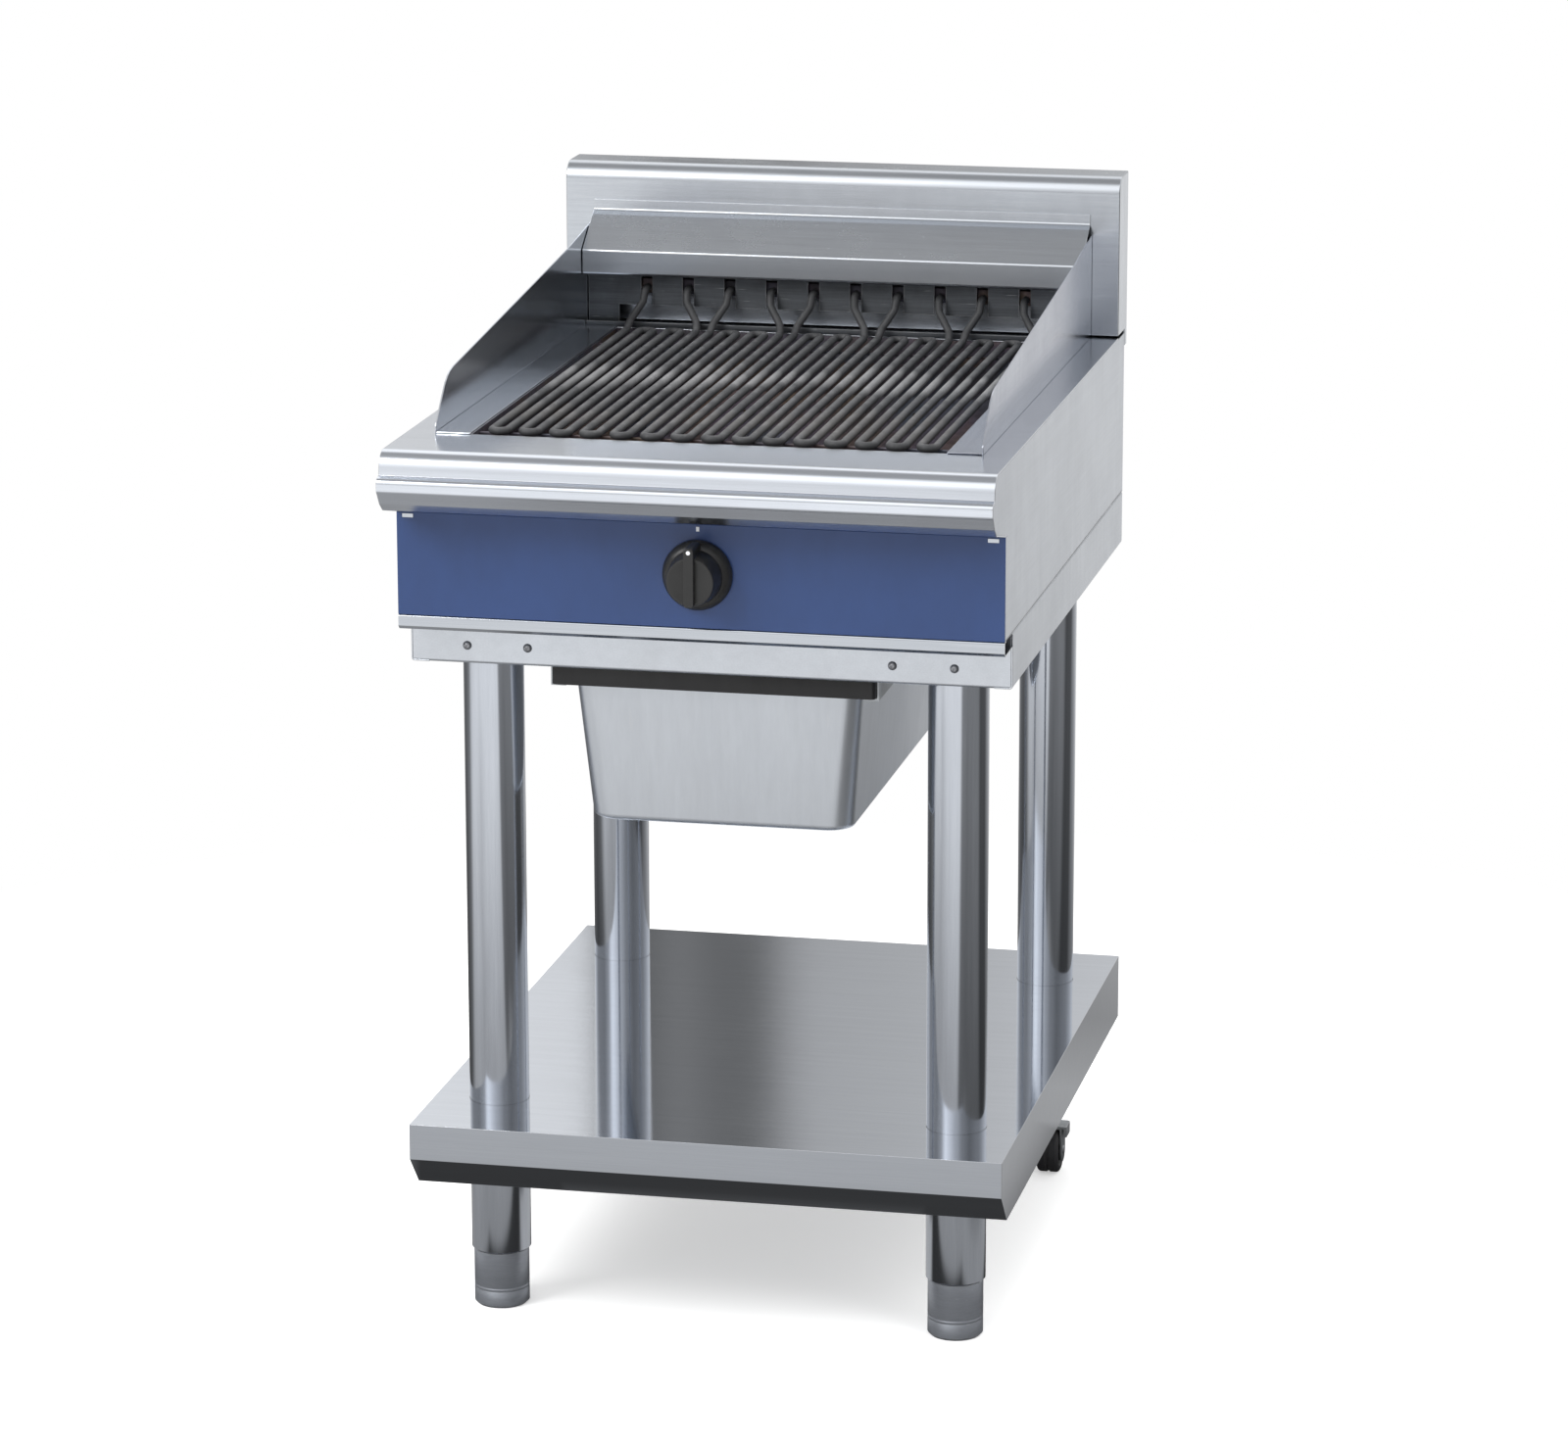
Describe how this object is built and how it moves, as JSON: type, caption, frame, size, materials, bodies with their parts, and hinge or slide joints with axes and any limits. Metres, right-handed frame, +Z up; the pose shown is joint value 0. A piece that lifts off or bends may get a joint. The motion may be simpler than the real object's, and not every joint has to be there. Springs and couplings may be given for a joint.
{
  "type": "charbroiler grill",
  "caption": "Commercial electric chargrill with tilting tubular elements, side guards, splashback, control panel, sliding drip pan and a leg stand with an undershelf, feet and rollers.",
  "frame": {"origin": "on the floor, under the middle of the unit's width and depth", "axes": "+X to the unit's right as seen from the front, +Y to the rear, +Z up"},
  "size_m": [0.6, 0.812, 1.085],
  "materials": {
    "stand_tube": "satin stainless tube",
    "brushed_stainless": "brushed stainless sheet",
    "polished_stainless": "bright finely brushed stainless sheet",
    "dull_stainless": "heat-dulled stainless",
    "bright_trim": "polished stainless strip",
    "pan_stainless": "drawn stainless, satin",
    "zinc_steel": "zinc plated",
    "foot_steel": "turned stainless",
    "screw_steel": "plated, dulled",
    "burnt_steel": "heat-darkened steel",
    "element_black": "oxidised sheathed heating tube, matt charcoal",
    "blue_enamel": "satin blue enamel",
    "black_carrier": "black powder coat",
    "knob_black": "satin black moulded plastic",
    "white_mark": "white",
    "switch_plastic": "light moulded plastic",
    "dark_plastic": "dark moulded plastic",
    "roller_nylon": "black nylon"
  },
  "bodies": {
    "frame": {"leg_front_left": "stand_tube", "leg_front_right": "stand_tube", "leg_rear_left": "stand_tube", "leg_rear_right": "stand_tube", "leg_sockets": "zinc_steel", "leg_plugs": "dark_plastic", "front_rail": "brushed_stainless", "rear_rail": "brushed_stainless", "side_rail_left": "brushed_stainless", "side_rail_right": "brushed_stainless", "undershelf": "polished_stainless", "shelf_collars": "zinc_steel", "roller_bracket_left": "zinc_steel", "roller_bracket_right": "zinc_steel", "roller_axle_left": "zinc_steel", "roller_axle_right": "zinc_steel", "rail_screws": "screw_steel", "side_panel_left": "brushed_stainless", "side_panel_right": "brushed_stainless", "rear_panel": "zinc_steel", "base_panel": "zinc_steel", "hob_deck": "polished_stainless", "control_panel": "blue_enamel", "lower_trim": "bright_trim", "splashback": "polished_stainless", "element_cover": "brushed_stainless", "slotted_panel": "dull_stainless", "well_liner": "burnt_steel", "guard_left": "polished_stainless", "guard_right": "polished_stainless", "element_rest": "burnt_steel", "hinge_shaft": "zinc_steel", "shaft_brackets": "zinc_steel", "index_mark": "white_mark", "rotary_switch": "switch_plastic", "contactor": "switch_plastic", "terminal_block": "switch_plastic", "cable_gland": "dark_plastic", "pan_runner_left": "zinc_steel", "pan_runner_right": "zinc_steel"},
    "foot_left": {"foot_front_left": "foot_steel"},
    "foot_right": {"foot_front_right": "foot_steel"},
    "wheel_left": {"roller_wheel_left": "roller_nylon"},
    "wheel_right": {"roller_wheel_right": "roller_nylon"},
    "knob": {"control_knob": "knob_black", "knob_dot": "white_mark"},
    "pan": {"pan_carrier": "black_carrier", "drip_pan": "pan_stainless"},
    "element_1": {"heating_element_1": "element_black", "element_holder_1": "burnt_steel"},
    "element_2": {"heating_element_2": "element_black", "element_holder_2": "burnt_steel"},
    "element_3": {"heating_element_3": "element_black", "element_holder_3": "burnt_steel"},
    "element_4": {"heating_element_4": "element_black", "element_holder_4": "burnt_steel"},
    "element_5": {"heating_element_5": "element_black", "element_holder_5": "burnt_steel"}
  },
  "joints": [
    {"name": "knob_turn", "type": "hinge", "parent": "frame", "child": "knob", "pos_m": [0, -0.336, 0.795], "axis": [0, 1, 0], "range_deg": [0, 270]},
    {"name": "pan_slide", "type": "slide", "parent": "frame", "child": "pan", "axis": [0, -1, 0], "range_m": [0, 0.42]},
    {"name": "foot_left_screw", "type": "slide", "parent": "frame", "child": "foot_left", "axis": [0, 0, -1], "range_m": [0, 0.025]},
    {"name": "foot_right_screw", "type": "slide", "parent": "frame", "child": "foot_right", "axis": [0, 0, -1], "range_m": [0, 0.025]},
    {"name": "wheel_left_roll", "type": "hinge", "parent": "frame", "child": "wheel_left", "pos_m": [-0.2425, 0.305, 0.025], "axis": [1, 0, 0], "continuous": true},
    {"name": "wheel_right_roll", "type": "hinge", "parent": "frame", "child": "wheel_right", "pos_m": [0.2425, 0.305, 0.025], "axis": [1, 0, 0], "continuous": true},
    {"name": "element_1_tilt", "type": "hinge", "parent": "frame", "child": "element_1", "pos_m": [-0.182, 0.332, 0.958], "axis": [-1, 0, 0], "range_deg": [0, 36]},
    {"name": "element_2_tilt", "type": "hinge", "parent": "frame", "child": "element_2", "pos_m": [-0.091, 0.332, 0.958], "axis": [-1, 0, 0], "range_deg": [0, 36]},
    {"name": "element_3_tilt", "type": "hinge", "parent": "frame", "child": "element_3", "pos_m": [0, 0.332, 0.958], "axis": [-1, 0, 0], "range_deg": [0, 36]},
    {"name": "element_4_tilt", "type": "hinge", "parent": "frame", "child": "element_4", "pos_m": [0.091, 0.332, 0.958], "axis": [-1, 0, 0], "range_deg": [0, 36]},
    {"name": "element_5_tilt", "type": "hinge", "parent": "frame", "child": "element_5", "pos_m": [0.182, 0.332, 0.958], "axis": [-1, 0, 0], "range_deg": [0, 36]}
  ]
}
